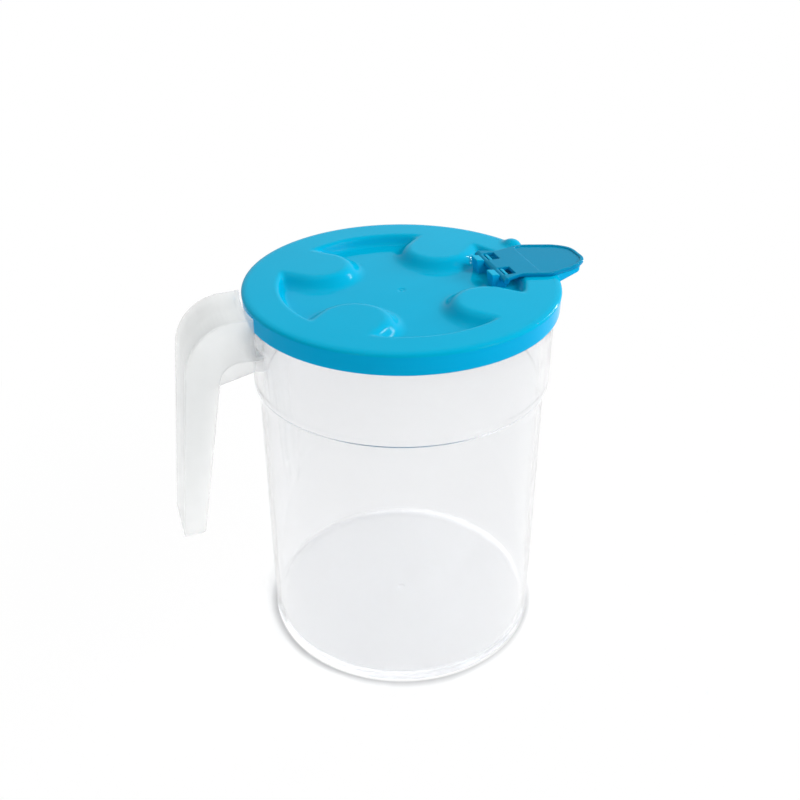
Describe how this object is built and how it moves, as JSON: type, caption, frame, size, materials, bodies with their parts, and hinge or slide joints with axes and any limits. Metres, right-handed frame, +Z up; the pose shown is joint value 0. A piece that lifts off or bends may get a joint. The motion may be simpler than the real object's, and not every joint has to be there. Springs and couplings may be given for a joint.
{
  "type": "lidded pouring jug",
  "caption": "Clear plastic formula jug with a one-piece channel handle, a press-on recessed lid with finger lobes and a small hinged pour flap over its spout",
  "frame": {"origin": "centre of the flat base, on the jug's own axis", "axes": "+Z up, +X towards the spout and away from the handle, +Y to the left of someone who looks along +X"},
  "size_m": [0.1708, 0.123, 0.1578],
  "materials": {
    "clear_plastic": "clear moulded polypropylene, faintly milky in the handle",
    "blue_plastic": "satin-gloss moulded polypropylene"
  },
  "bodies": {
    "jug_body": {"jug": "clear_plastic"},
    "lid_body": {"lid": "blue_plastic"},
    "flap_body": {"pour_flap": "blue_plastic"}
  },
  "joints": [
    {"name": "lid_lift", "type": "slide", "parent": "jug_body", "child": "lid_body", "axis": [0, 0, 1], "range_m": [0, 0.06]},
    {"name": "flap_hinge", "type": "hinge", "parent": "lid_body", "child": "flap_body", "pos_m": [0.0378, 0, 0.1559], "axis": [0, -1, 0], "range_deg": [0, 110]}
  ]
}
